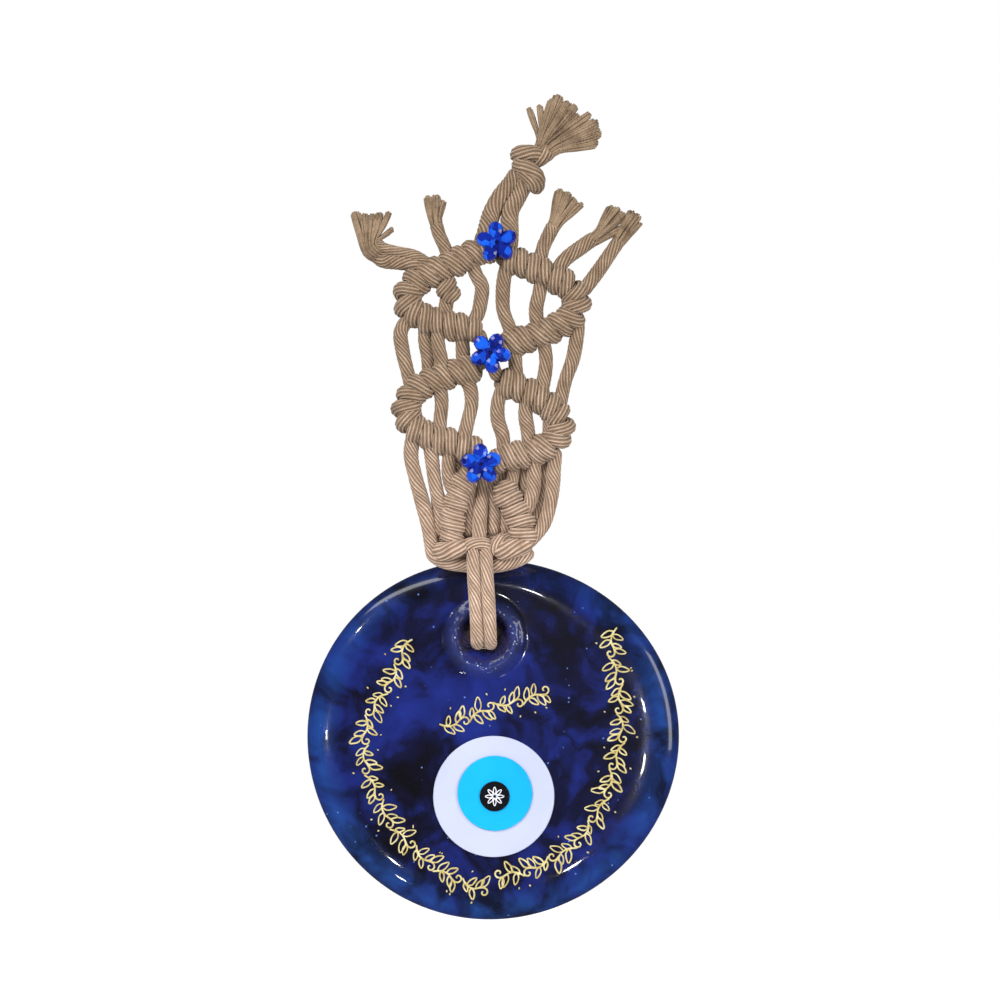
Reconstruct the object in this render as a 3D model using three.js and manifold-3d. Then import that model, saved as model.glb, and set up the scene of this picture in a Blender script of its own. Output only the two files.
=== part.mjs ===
// Evil eye ornament: a blue glass disc with an eye, hung on a knotted cord net.
// Millimetres, +Z up, +X to the right as seen from the front, and the front faces -Y.
// The origin is the slit between the two hanging cords, under the top knot, where a nail goes.

import * as THREE from 'three';
import { mergeVertices } from 'three/addons/utils/BufferGeometryUtils.js';
import Module from 'manifold-3d';

const wasm = await Module();
wasm.setup();

// --- driving dimensions ------------------------------------------------------------------

const CLEARANCE = 0.32;            // air between neighbouring pieces
const CORD_RADIUS = 2.0;           // twisted cotton cord, 4 mm thick
const BAR_RADIUS = 4.1;            // a row of double half hitches round its holding cord
const LADDER_RADIUS = 3.6;         // the looser rows of hitches that lead to the gather
const GATHER_RADIUS = 2.6;         // the small wraps that close the net
const CORD_SIDES = 8;
const BAR_SIDES = 12;
const CORD_STEP = 4.2;             // length of one straight step along a rope
const NET_Y = -5.4;                // depth of the net's middle plane

const TOP_PIVOT = { y: -1.0, z: -7.0 };      // where the hanging cords enter the net
const GATHER_PIVOT = { y: NET_Y, z: -111.0 };
const GATHER_SWEEP = 3.95;         // room that the gather needs while the loop swings round it
const GATHER_SPAN = [-22.4, 6.5];  // left and right ends of that room
const EDGE_CORD_FOOT_X = -24.7;    // the left edge cord ends in a round foot on the gather's axis

const DISC = { x: -5.4, y: 3.2, z: -172.5, radius: 59.0, thickness: 11.0 };
const RIM_ROUNDING = 5.4;
const DISC_SEGMENTS = 64;
const DISC_FRONT = DISC.y - DISC.thickness / 2;
const DISC_BACK = DISC.y + DISC.thickness / 2;
const BACK_RELIEF = 0.5;           // the back is flat on a round land and lower outside it
const BACK_LAND = { x: DISC.x, z: -181.0, radius: 33.0 };

const HOLE = { x: -8.0, z: -140.2, radius: 6.2 };
const COLLAR_CREST = 2.0;          // height of the raised ring round the hole

// The three layers of the eye are laid by hand, so each has its own middle.
const GLUE_LINE = 0.05;
const WHITE = { x: -4.9, z: -191.2, radius: 19.4, thickness: 0.9 };
const BLUE = { x: -4.5, z: -190.1, radius: 12.0, thickness: 0.6 };
const PUPIL = { x: -4.6, z: -191.0, radius: 4.8, thickness: 0.5 };

const LOOP_RADIUS = 1.9;
const LOOP_PITCH = 4.3;            // distance between the middles of the two loop strands

const FLOWER = { petals: 5, core: 3.3, lobe: 2.9, thickness: 2.4, holeRadius: 0.9 };
const FLOWER_BACK = NET_Y - 4.75;

// --- materials ---------------------------------------------------------------------------

function paint(color, roughness, metalness = 0) {
  return new THREE.MeshStandardMaterial({ color, roughness, metalness });
}

const COTTON = paint(0xb89c82, 0.95);
const COBALT_GLASS = paint(0x101a5a, 0.08);
const WHITE_ENAMEL = paint(0xe6ebfb, 0.25);
const CYAN_ENAMEL = paint(0x16ccff, 0.25);
const BLACK_ENAMEL = paint(0x0a0a10, 0.25);
const BLUE_ACRYLIC = paint(0x0a3fe0, 0.15);

// --- helpers -----------------------------------------------------------------------------

// A closed three.js geometry as a solid that can be joined and cut.
function solidOf(geometry) {
  const bare = geometry.clone();
  bare.deleteAttribute('normal');
  bare.deleteAttribute('uv');
  const merged = mergeVertices(bare, 1e-4);
  const shell = new wasm.Mesh({
    numProp: 3,
    vertProperties: new Float32Array(merged.attributes.position.array),
    triVerts: new Uint32Array(merged.index.array),
  });
  return new wasm.Manifold(shell);
}

function geometryOf(solid) {
  const shell = solid.getMesh();
  const geometry = new THREE.BufferGeometry();
  geometry.setAttribute('position', new THREE.BufferAttribute(shell.vertProperties, 3));
  geometry.setIndex(new THREE.BufferAttribute(shell.triVerts, 1));
  geometry.computeVertexNormals();
  return geometry;
}

const ornament = new THREE.Group();

function addPiece(name, solid, material) {
  const mesh = new THREE.Mesh(geometryOf(solid), material);
  mesh.name = name;
  ornament.add(mesh);
}

// Stations are [x, z] or [x, z, forward], where forward is measured from the net's plane.
function netCurve(stations) {
  const points = stations.map(([x, z, forward = 0]) => new THREE.Vector3(x, NET_Y - forward, z));
  return new THREE.CatmullRomCurve3(points, false, 'centripetal');
}

function roundSection(radius, sides) {
  const corners = [];
  for (let i = 0; i < sides; i += 1) {
    const angle = (i / sides) * 2 * Math.PI;
    corners.push(new THREE.Vector2(radius * Math.cos(angle), radius * Math.sin(angle)));
  }
  return new THREE.Shape(corners);
}

function rope(curve, radius, sides = CORD_SIDES, step = CORD_STEP) {
  const steps = Math.max(2, Math.round(curve.getLength() / step));
  const options = { steps, bevelEnabled: false, extrudePath: curve };
  return solidOf(new THREE.ExtrudeGeometry(roundSection(radius, sides), options));
}

function ball(x, y, z, radius) {
  return solidOf(new THREE.SphereGeometry(radius, 12, 8).translate(x, y, z));
}

// Radius and height pairs, from front to back, turned about the Y axis; height is in front of y.
function turned(profile, x, y, z, segments) {
  const points = profile.map(([radius, height]) => new THREE.Vector2(radius, -height));
  return solidOf(new THREE.LatheGeometry(points, segments).translate(x, y, z));
}

// A cone frustum from one point to another, flattened front to back.
function flare(from, to, startRadius, endRadius, flatness) {
  const start = new THREE.Vector3(...from);
  const along = new THREE.Vector3(...to).sub(start);
  const length = along.length();
  const depth = new THREE.Vector3(0, 1, 0);
  const up = along.clone().normalize();
  const side = new THREE.Vector3().crossVectors(up, depth).normalize();
  const front = new THREE.Vector3().crossVectors(side, up);
  const geometry = new THREE.CylinderGeometry(endRadius, startRadius, length, BAR_SIDES);
  geometry.scale(1, 1, flatness);
  geometry.translate(0, length / 2, 0);
  geometry.applyMatrix4(new THREE.Matrix4().makeBasis(side, up, front));
  geometry.translate(...from);
  return solidOf(geometry);
}

function cutAway(solid, cutters) {
  return cutters.reduce((rest, cutter) => rest.subtract(cutter), solid);
}

// Ropes are cut back by the pieces that they run into, which are kept here a little oversize.
const roomOf = new Map();

function addRope(name, stations, radius, sides, cutNames = []) {
  const curve = netCurve(stations);
  const room = rope(curve, radius + CLEARANCE, sides);
  const cutters = cutNames.map((cutName) => roomOf.get(cutName));
  roomOf.set(name, room);
  addPiece(name, cutAway(rope(curve, radius, sides), cutters), COTTON);
}

// --- the net: rows of hitches ------------------------------------------------------------

const HITCH_ROWS = {
  hitch_row_1_left: [[-10, -17], [-16, -20], [-25.5, -24.5], [-34, -28]],
  hitch_row_1_right: [[-1.3, -19.5], [7.5, -22], [16.5, -26], [25, -29.8]],
  hitch_row_2_left: [[-31.5, -36.8], [-25, -38.8], [-17.5, -41], [-10.5, -42]],
  hitch_row_2_right: [[24.5, -38.8], [16.5, -41], [7.5, -44.5], [-1.5, -47]],
  hitch_row_3_left: [[-12, -54.5], [-18, -56], [-26, -58.5], [-32, -62], [-34, -66]],
  hitch_row_3_right: [[-3.3, -58], [3.5, -60.5], [12, -64.5], [20, -69]],
  hitch_row_4_left: [[-31.5, -75], [-25, -76.5], [-17.5, -78.5], [-11, -80.5]],
  hitch_row_4_right: [[20, -78.3], [12.5, -80.5], [5, -82], [-1.8, -82.5]],
};

function addHitchRows() {
  for (const [name, stations] of Object.entries(HITCH_ROWS)) {
    addRope(name, stations, BAR_RADIUS, BAR_SIDES);
  }
}

// --- the net: the gather at its foot -----------------------------------------------------

function addGather() {
  const wrapLeft = [[-22, -112], [-18, -111.3], [-14.6, -110.8]];
  const wrapRight = [[-5.2, -111], [0.5, -111.2], [6, -112]];
  addRope('gather_wrap_left', wrapLeft, GATHER_RADIUS, CORD_SIDES);
  addRope('gather_wrap_right', wrapRight, GATHER_RADIUS, CORD_SIDES);
  addRope('gather_bight', [[-14.2, -111], [-9.9, -111], [-5.6, -111]], CORD_RADIUS, BAR_SIDES);

  const ladderLeft = [[-13.5, -88.7], [-16.2, -95], [-17.6, -101.5], [-18, -110]];
  const ladderRight = [[-3.2, -92.5], [-0.5, -97.5], [2.5, -102], [4.5, -110]];
  addRope('hitch_ladder_left', ladderLeft, LADDER_RADIUS, BAR_SIDES, ['gather_wrap_left']);
  addRope('hitch_ladder_right', ladderRight, LADDER_RADIUS, BAR_SIDES, ['gather_wrap_right']);
}

// --- the net: single cords between the rows ----------------------------------------------

const NET_CORDS = {
  inner_cord_1_a: [[-12.5, -18.5], [-10.5, -24.5], [-8.7, -28], [-9, -32.5], [-10, -37], [-12.8, -41.6]],
  inner_cord_1_b: [[-20.5, -22], [-19.2, -29], [-20, -33.5], [-21, -40]],
  inner_cord_1_c: [[-0.3, -19.9], [-1.5, -25], [-2, -30], [-1.8, -36], [0, -41], [1.5, -46]],
  inner_cord_1_d: [[10.5, -23.3], [9.7, -30], [8.6, -35.5], [9.5, -43.8]],
  inner_cord_1_e: [[18, -26.6, -1], [19, -33, -1.5], [18.5, -40.3, -1]],
  side_cord_2_a: [[-31, -36.8], [-34.5, -42.5], [-34, -48.5], [-32.5, -55], [-31, -61.2]],
  side_cord_2_b: [[-26.5, -38.3, -1], [-26.8, -45, -1], [-25.8, -51, -1], [-25.5, -58.3, -1]],
  side_cord_2_c: [[-22.5, -39.5, 1], [-22.6, -46, 1], [-21.6, -52, 1], [-21, -57, 1]],
  side_cord_2_d: [[-15, -41.3], [-14.8, -47.5], [-14.5, -54.9]],
  side_cord_2_e: [[22.3, -39.2], [21.5, -45], [20.3, -51.5], [18, -58], [16, -66.6]],
  side_cord_2_f: [[10.5, -43.3], [11.8, -52], [10, -63.5]],
  side_cord_2_g: [[2.2, -46.2], [2, -52], [2.5, -60.1]],
  crossing_cord_front: [[-10, -42.2], [-8.5, -47, 2.3], [-6, -52, 2.3], [-3.3, -58]],
  crossing_cord_back: [[-1.5, -47], [-5, -49.3, -2.3], [-8.5, -52, -2.3], [-12, -54.5]],
  inner_cord_3_a: [[-14.8, -55.4], [-12.3, -61], [-12, -66], [-13, -70.5], [-15, -79]],
  inner_cord_3_b: [[-22.5, -57.3], [-21.5, -65], [-22, -71], [-22.5, -77]],
  inner_cord_3_c: [[-1.3, -58.8], [-3.4, -64.5], [-3.6, -70.5], [-2, -76], [-1.8, -82.5]],
  inner_cord_3_d: [[6, -61.6], [5.2, -69], [6, -74.5], [6.5, -81.7]],
  inner_cord_3_e: [[13.5, -65.3], [13, -72], [12.8, -80.5]],
  foot_cord_b: [[-25.5, -76.4], [-24.5, -84], [-23.5, -91.5], [-21.8, -97.5], [-18, -101.5]],
  foot_cord_c: [[-18.8, -78.3], [-19.3, -86], [-18.8, -90.5], [-16.2, -96]],
  foot_cord_d: [[15, -79.8], [14.3, -86], [14, -91.5], [13, -98], [11, -104], [5, -111]],
  foot_cord_e: [[8, -81.3], [8, -88], [7.6, -93.5], [5.5, -99], [2.5, -102]],
  foot_cord_f: [[1.5, -82.4, -1.5], [1.2, -88, -1.5], [-0.5, -97.5]],
  centre_cord: [[-10.5, -80.5], [-8, -86, -3], [-8.2, -92, -3.2], [-9.2, -100, -1.2], [-9.5, -106], [-9.5, -111]],
};

const HITCHED = [
  ...Object.keys(HITCH_ROWS),
  'hitch_ladder_left', 'hitch_ladder_right',
  'gather_wrap_left', 'gather_wrap_right', 'gather_bight',
];

function addNetCords() {
  for (const [name, stations] of Object.entries(NET_CORDS)) {
    addRope(name, stations, CORD_RADIUS, CORD_SIDES, HITCHED);
  }
}

// The left edge cord runs down to the gather and ends in a round foot on the gather's axis.
function addEdgeCord() {
  const stations = [
    [-30.5, -75.3], [-31.3, -82], [-30, -88.5], [-27.8, -96.5], [-25.8, -104.5],
    [EDGE_CORD_FOOT_X, GATHER_PIVOT.z],
  ];
  const cord = cutAway(rope(netCurve(stations), CORD_RADIUS), [roomOf.get('hitch_row_4_left')]);
  const foot = ball(EDGE_CORD_FOOT_X, GATHER_PIVOT.y, GATHER_PIVOT.z, CORD_RADIUS);
  addPiece('foot_cord_a', cord.add(foot), COTTON);
}

// --- the frayed ends of the working cords ------------------------------------------------

const TAILS = {
  frayed_end_a: {
    stations: [[-27, -24.5], [-29, -19.3], [-35, -19], [-41, -18], [-44.5, -14]],
    tip: [-48, -6], radius: 4.6,
  },
  frayed_end_b: {
    stations: [[-20, -21], [-20.5, -15.5], [-22.3, -11], [-23.5, -6.5]], tip: [-24.3, 0.5], radius: 3.6,
  },
  frayed_end_c: {
    stations: [[9.5, -22.8], [10.5, -15.5], [12.5, -10.5], [15, -5.5]], tip: [18.5, 1], radius: 4.4,
  },
  frayed_end_d: {
    stations: [[14, -24.8], [17, -18.5], [22, -15], [27, -10.5]], tip: [33.3, -4.0], radius: 3.4,
  },
  frayed_end_e: {
    stations: [[24, -29.4], [27.8, -23.5], [32, -17.3], [35.5, -12]], tip: [40.6, -6.6], radius: 3.2,
  },
};
const FRAY_FLATNESS = 0.62;

function addTails() {
  for (const [name, { stations, tip, radius }] of Object.entries(TAILS)) {
    const [x, z] = stations[stations.length - 1];
    const room = [roomOf.get('hitch_row_1_left'), roomOf.get('hitch_row_1_right')];
    const stem = cutAway(rope(netCurve(stations), CORD_RADIUS), room);
    const brush = flare([x, NET_Y, z], [tip[0], NET_Y, tip[1]], CORD_RADIUS, radius, FRAY_FLATNESS);
    addPiece(name, stem.add(brush), COTTON);
  }
}

// --- the hanging cords, their knot and its tassel ----------------------------------------

const HANGING_CORDS = {
  left: [[-6.7, TOP_PIVOT.y, TOP_PIVOT.z], [-6.4, -0.6, -4.2], [-3.4, 0, 0.5], [0.4, 0, 5], [3.5, 0, 9.5]],
  right: [[1.3, TOP_PIVOT.y, TOP_PIVOT.z], [1.6, -0.6, -4.2], [3.0, 0, 0.2], [5.4, 0, 4.4], [7.4, 0, 8.5]],
};
const APEX_CORDS = {
  left: [[-6.7, TOP_PIVOT.y, TOP_PIVOT.z], [-6.9, -2, -10], [-7.8, NET_Y, -14], [-9.5, NET_Y, -17]],
  right: [[1.3, TOP_PIVOT.y, TOP_PIVOT.z], [1.3, -2, -10], [0.9, NET_Y, -15], [-0.8, NET_Y, -19]],
};

function curveThrough(points) {
  const stations = points.map(([x, y, z]) => new THREE.Vector3(x, y, z));
  return new THREE.CatmullRomCurve3(stations, false, 'centripetal');
}

function topKnot(grow) {
  const turn = rope(curveThrough([[0.6, 0, 14.2], [5.5, -1.4, 15], [10.2, 0, 14.4]]), 2.6 + grow);
  const wrap = rope(curveThrough([[1.6, 0, 11], [6.5, -2, 8], [10.8, 0, 5.6]]), 3.1 + grow);
  const heart = new THREE.SphereGeometry(1, 16, 12);
  heart.scale(4.4 + grow, 4.2 + grow, 6.4 + grow);
  heart.translate(6.2, 0.4, 9.6);
  return turn.add(wrap).add(solidOf(heart));
}

function addTop() {
  const knotRoom = topKnot(CLEARANCE);
  addPiece('overhand_knot', topKnot(0), COTTON);
  for (const [side, points] of Object.entries(HANGING_CORDS)) {
    const foot = ball(...points[0], CORD_RADIUS);
    const cord = cutAway(rope(curveThrough(points), CORD_RADIUS), [knotRoom]);
    addPiece(`hanging_cord_${side}`, cord.add(foot), COTTON);
  }
  const mainBrush = flare([9, 0, 13], [22, 0, 27], 3.2, 8.6, 0.5);
  const smallBrush = flare([8.6, 0, 14], [9, 0, 31], 2.4, 2.9, 0.8);
  addPiece('tassel', cutAway(mainBrush.add(smallBrush), [knotRoom]), COTTON);
}

// Each apex cord meets its hanging cord in a shallow socket, so that the net can swing.
function addApexCords() {
  for (const [side, points] of Object.entries(APEX_CORDS)) {
    const socket = ball(...points[0], CORD_RADIUS + CLEARANCE);
    const cutters = [socket, roomOf.get('hitch_row_1_left'), roomOf.get('hitch_row_1_right')];
    addPiece(`apex_cord_${side}`, cutAway(rope(curveThrough(points), CORD_RADIUS), cutters), COTTON);
  }
}

// --- the loop that carries the disc ------------------------------------------------------

// One strand seen from the side, as [y, z]: down the front, through the hole and up the back.
const LOOP_SIDE = [
  [-6.0, -111.5], [-8.6, -116], [-9.0, -120], [-8.2, -125.5], [-7.0, -130.6],
  [-5.4, -134.2], [-2.6, -136.3], [1.5, -137.0], [6.0, -136.9], [9.5, -135.8],
  [11.3, -132.3], [11.5, -125], [11.2, -119], [9.0, -114.6], [5.0, -112.3], [0.8, -112.2],
  [-2.2, -113.2],
];
const LOOP_TOP_X = -9.6;           // the strands drift right on their way down to the hole

function loopCurve(offset) {
  const points = LOOP_SIDE.map(([y, z]) => {
    const drop = (GATHER_PIVOT.z - z) / (GATHER_PIVOT.z - HOLE.z);
    return [THREE.MathUtils.lerp(LOOP_TOP_X, HOLE.x, THREE.MathUtils.clamp(drop, 0, 1)) + offset, y, z];
  });
  return curveThrough(points);
}

function addLoop() {
  const bightRoom = roomOf.get('gather_bight');
  for (const [side, sign] of [['left', -1], ['right', 1]]) {
    const strand = rope(loopCurve((sign * LOOP_PITCH) / 2), LOOP_RADIUS, CORD_SIDES, 2.6);
    addPiece(`loop_strand_${side}`, cutAway(strand, [bightRoom]), COTTON);
  }
}

// The cradle cord carries on from the edge cord's foot and hangs under the gather like a smile.
function addCradleCord() {
  const stations = [
    [EDGE_CORD_FOOT_X, GATHER_PIVOT.z], [-24.3, -114.6], [-20.5, -117.4, -0.4], [-14, -119.2, -0.9],
    [-9.3, -119.6, -1], [-4.5, -119.2, -0.9], [0.8, -117.6, -0.4], [4.8, -116.3],
  ];
  const socket = ball(EDGE_CORD_FOOT_X, GATHER_PIVOT.y, GATHER_PIVOT.z, CORD_RADIUS + CLEARANCE);
  const [left, right] = GATHER_SPAN;
  const sweep = new THREE.CylinderGeometry(GATHER_SWEEP, GATHER_SWEEP, right - left, 24);
  sweep.rotateZ(Math.PI / 2);
  sweep.translate((left + right) / 2, GATHER_PIVOT.y, GATHER_PIVOT.z);
  const cord = rope(netCurve(stations), CORD_RADIUS, CORD_SIDES, 3.2);
  addPiece('cradle_cord', cutAway(cord, [socket, solidOf(sweep)]), COTTON);
}

// --- the glass disc ----------------------------------------------------------------------

// Poured glass is never quite round: a little wider than high, fuller below, with one flatter side.
function outlineRadius(angle) {
  const oval = 0.95 * Math.cos(2 * angle) - 0.8 * Math.sin(angle);
  const flats = 0.3 * Math.cos(3 * angle) + 0.25 * Math.sin(3 * angle);
  return DISC.radius + oval + flats;
}

function discBlank() {
  const half = DISC.thickness / 2;
  const profile = [[0, half], [DISC.radius * 0.5, half]];
  const arcSteps = 5;
  for (let i = 0; i <= arcSteps; i += 1) {
    const angle = (Math.PI / 2) * (1 - i / arcSteps);
    const inset = RIM_ROUNDING * (1 - Math.cos(angle));
    profile.push([DISC.radius - inset, half - RIM_ROUNDING * (1 - Math.sin(angle))]);
  }
  for (let i = 1; i <= arcSteps; i += 1) {
    const angle = (Math.PI / 2) * (i / arcSteps);
    const inset = RIM_ROUNDING * (1 - Math.cos(angle));
    const depth = (half - BACK_RELIEF) * Math.sin(angle);
    profile.push([DISC.radius - inset, -depth]);
  }
  profile.push([DISC.radius * 0.5, -(half - BACK_RELIEF)], [0, -(half - BACK_RELIEF)]);

  const points = profile.map(([radius, height]) => new THREE.Vector2(radius, -height));
  const geometry = new THREE.LatheGeometry(points, DISC_SEGMENTS);
  const place = geometry.attributes.position;
  for (let i = 0; i < place.count; i += 1) {
    const x = place.getX(i);
    const z = place.getZ(i);
    const stretch = outlineRadius(Math.atan2(z, x)) / DISC.radius;
    place.setXYZ(i, DISC.x + x * stretch, DISC.y + place.getY(i), DISC.z + z * stretch);
  }
  return solidOf(geometry);
}

function addDisc() {
  const collar = turned([
    [5, -1.5], [6.4, 0.6], [8.2, 1.7], [9.6, COLLAR_CREST], [10.9, 1.5], [12.2, 0.3], [13.0, -1.5], [5, -1.5],
  ], HOLE.x, DISC_FRONT, HOLE.z, 32);
  const funnel = turned([
    [0, 3], [9.0, 3], [8.2, 1.5], [7.3, -0.4], [6.5, -2.4], [HOLE.radius, -4.4],
    [HOLE.radius, -8.4], [7.4, -DISC.thickness - 1], [0, -DISC.thickness - 1],
  ], HOLE.x, DISC_FRONT, HOLE.z, 32);
  const land = turned(
    [[0, 2], [BACK_LAND.radius, 2], [BACK_LAND.radius, 0], [0, 0]],
    BACK_LAND.x, DISC_BACK, BACK_LAND.z, 48,
  );
  addPiece('glass_disc', discBlank().add(land).add(collar).subtract(funnel), COBALT_GLASS);
}

function addEye() {
  let base = DISC_FRONT;
  const layers = [
    ['eye_white', WHITE, WHITE_ENAMEL, 48],
    ['eye_blue', BLUE, CYAN_ENAMEL, 40],
    ['eye_pupil', PUPIL, BLACK_ENAMEL, 32],
  ];
  for (const [name, layer, material, segments] of layers) {
    const edge = layer.thickness * 0.4;
    const profile = [
      [0, layer.thickness], [layer.radius - edge, layer.thickness],
      [layer.radius, layer.thickness - edge], [layer.radius, GLUE_LINE], [0, GLUE_LINE],
    ];
    addPiece(name, turned(profile, layer.x, base, layer.z, segments), material);
    base -= layer.thickness;
  }
}

// --- the acrylic flowers -----------------------------------------------------------------

function flowerShape(turn) {
  const outline = [];
  const corners = 40;
  for (let i = 0; i < corners; i += 1) {
    const angle = (i / corners) * 2 * Math.PI;
    const swell = Math.abs(Math.cos((FLOWER.petals * (angle - turn)) / 2)) ** 0.8;
    const radius = FLOWER.core + FLOWER.lobe * swell;
    outline.push(new THREE.Vector2(radius * Math.cos(angle), radius * Math.sin(angle)));
  }
  const shape = new THREE.Shape(outline);
  const eyelet = new THREE.Path();
  eyelet.absarc(0, 0, FLOWER.holeRadius, 0, 2 * Math.PI, true);
  shape.holes.push(eyelet);
  return shape;
}

const FLOWERS = [
  { name: 'flower_top', x: -4.6, z: -13.6, turnDegrees: 95 },
  { name: 'flower_middle', x: -6.0, z: -49.4, turnDegrees: -10 },
  { name: 'flower_lower', x: -9.0, z: -84.5, turnDegrees: 93 },
];

function addFlowers() {
  for (const { name, x, z, turnDegrees } of FLOWERS) {
    const shape = flowerShape(THREE.MathUtils.degToRad(turnDegrees));
    const options = { depth: FLOWER.thickness, bevelEnabled: false, curveSegments: 6 };
    const geometry = new THREE.ExtrudeGeometry(shape, options);
    geometry.rotateX(Math.PI / 2);
    geometry.translate(x, FLOWER_BACK, z);
    addPiece(name, solidOf(geometry), BLUE_ACRYLIC);
  }
}

addHitchRows();
addGather();
addNetCords();
addEdgeCord();
addTails();
addTop();
addApexCords();
addLoop();
addCradleCord();
addDisc();
addEye();
addFlowers();

export default ornament;
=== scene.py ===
# %% [markdown]
# # Evil eye ornament: the frame
# The imported model is a fixed frame of plain solids that already stand where they belong and move on their
# joints. Everything made below is a finer skin for one of those solids, so the first step is to load them.

# %% Load the frame
import math
import random

import bmesh
import bpy
import numpy as np
from mathutils import Matrix, Vector


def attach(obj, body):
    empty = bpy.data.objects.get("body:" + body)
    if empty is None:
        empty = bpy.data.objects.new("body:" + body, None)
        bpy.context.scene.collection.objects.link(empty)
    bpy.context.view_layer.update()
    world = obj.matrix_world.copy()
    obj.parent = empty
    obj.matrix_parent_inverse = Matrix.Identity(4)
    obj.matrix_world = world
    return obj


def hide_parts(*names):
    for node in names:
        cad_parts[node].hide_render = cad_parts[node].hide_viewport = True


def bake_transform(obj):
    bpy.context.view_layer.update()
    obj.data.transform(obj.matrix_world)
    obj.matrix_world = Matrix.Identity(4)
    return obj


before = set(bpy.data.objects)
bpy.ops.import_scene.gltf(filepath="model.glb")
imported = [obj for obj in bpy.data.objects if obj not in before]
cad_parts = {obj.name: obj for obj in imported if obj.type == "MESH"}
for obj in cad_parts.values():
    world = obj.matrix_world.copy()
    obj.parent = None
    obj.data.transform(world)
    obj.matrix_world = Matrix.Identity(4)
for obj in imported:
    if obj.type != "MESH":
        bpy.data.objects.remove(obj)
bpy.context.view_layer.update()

MM = 0.001

# %% [markdown]
# ## The camera and the light
# The ornament is seen square on, so a long lens a good arm's length away keeps the disc round. The light is a
# plain studio: a wide soft box above on the left, a weaker one on the right, one behind, and two slim panels
# for the long reflections on the rim. Small far lamps leave the bright glints of a shop ceiling in the glass,
# and each is placed by working back from the spot where its glint should fall. The world is white where the
# camera looks straight at it, and dimmer where it lights and mirrors, or dark glass would look grey.

# %% Camera, floor and lamps
scene = bpy.context.scene
LENS, SENSOR = 85.0, 36.0
VIEW_WIDTH = 320 * MM
VIEW_CENTRE = Vector((-2.9 * MM, -3 * MM, -96.3 * MM))
FLOOR_Z, FLOOR_RADIUS = -300 * MM, 450 * MM


def add_object(name, data):
    made = bpy.data.objects.new(name, data)
    scene.collection.objects.link(made)
    return made


def mesh_piece(name, build):
    shape = bpy.data.meshes.new(name)
    build.to_mesh(shape)
    build.free()
    return add_object(name, shape)


def add_camera():
    data = bpy.data.cameras.new("studio_camera")
    data.lens, data.sensor_width = LENS, SENSOR
    camera = add_object("studio_camera", data)
    distance = VIEW_WIDTH * LENS / SENSOR
    camera.location = VIEW_CENTRE - Vector((0, distance, 0))
    camera.rotation_euler = (math.radians(90), 0, 0)
    scene.camera = camera
    return distance


def add_lamp(name, place, target, size, power, mirrored=False):
    data = bpy.data.lights.new(name, "AREA")
    data.shape = "RECTANGLE"
    data.size, data.size_y = size
    data.energy = power
    lamp = add_object(name, data)
    lamp.location = place
    lamp.rotation_euler = (Vector(target) - Vector(place)).to_track_quat("-Z", "Y").to_euler()
    lamp.visible_glossy = mirrored


def add_world(seen, lit, mirrored):
    world = bpy.data.worlds.new("studio")
    world.use_nodes = True
    nodes, links = world.node_tree.nodes, world.node_tree.links
    background = nodes["Background"]
    background.inputs["Color"].default_value = (1, 1, 1, 1)
    path = nodes.new("ShaderNodeLightPath")
    strength = lit
    for ray, value in (("Is Glossy Ray", mirrored), ("Is Camera Ray", seen)):
        choice = nodes.new("ShaderNodeMix")
        links.new(path.outputs[ray], choice.inputs["Factor"])
        if isinstance(strength, float):
            choice.inputs["A"].default_value = strength
        else:
            links.new(strength, choice.inputs["A"])
        choice.inputs["B"].default_value = value
        strength = choice.outputs["Result"]
    links.new(strength, background.inputs["Strength"])
    scene.world = world


def add_floor():
    mesh = bmesh.new()
    bmesh.ops.create_circle(mesh, cap_ends=True, segments=64, radius=FLOOR_RADIUS)
    bmesh.ops.translate(mesh, verts=mesh.verts, vec=(0, 0, FLOOR_Z))
    floor = mesh_piece("floor", mesh)
    material = bpy.data.materials.new("pale_floor")
    material.use_nodes = True
    shader = material.node_tree.nodes["Principled BSDF"]
    shader.inputs["Base Color"].default_value = (0.9, 0.9, 0.9, 1)
    shader.inputs["Roughness"].default_value = 0.8
    floor.data.materials.append(material)
    floor.visible_glossy = False


scene.view_settings.view_transform = "Standard"
camera_distance = add_camera()
add_world(seen=1.0, lit=0.34, mirrored=0.07)
add_floor()
EYE_LEVEL = (-0.005, 0, -0.13)
add_lamp("key_soft_box", (-0.5, -0.75, 0.45), EYE_LEVEL, (0.45, 0.45), 9.5)
add_lamp("fill_soft_box", (0.75, -0.6, 0.05), EYE_LEVEL, (0.4, 0.6), 4.8)
add_lamp("back_soft_box", (0.2, 0.7, 0.3), EYE_LEVEL, (0.6, 0.4), 6)
add_lamp("ceiling_panel", (-0.38, -0.42, 0.38), EYE_LEVEL, (0.5, 0.12), 0.75, True)
add_lamp("window_panel", (0.62, -0.36, -0.08), EYE_LEVEL, (0.14, 0.42), 0.7, True)
FACE_Y = -2  # about where the glass face is, in mm
FACE_MIDDLE = Vector((-5.4, FACE_Y, -172.5)) * MM
GLINT_DISTANCE, GLINT_SIZE, GLINT_POWER = 1.3, 0.04, 0.35


def add_glint(name, x, z, tilt):
    """A small far lamp that glints on the glass at (x, z) mm, where the glass leans out by tilt degrees."""
    spot = Vector((x, FACE_Y, z)) * MM
    outward = (spot - FACE_MIDDLE).normalized()
    lean = math.radians(tilt)
    normal = outward * math.sin(lean) + Vector((0, -1, 0)) * math.cos(lean)
    view = (scene.camera.location - spot).normalized()
    beam = 2 * normal.dot(view) * normal - view
    add_lamp(name, spot + beam * GLINT_DISTANCE, spot, (GLINT_SIZE, GLINT_SIZE), GLINT_POWER, True)


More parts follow.
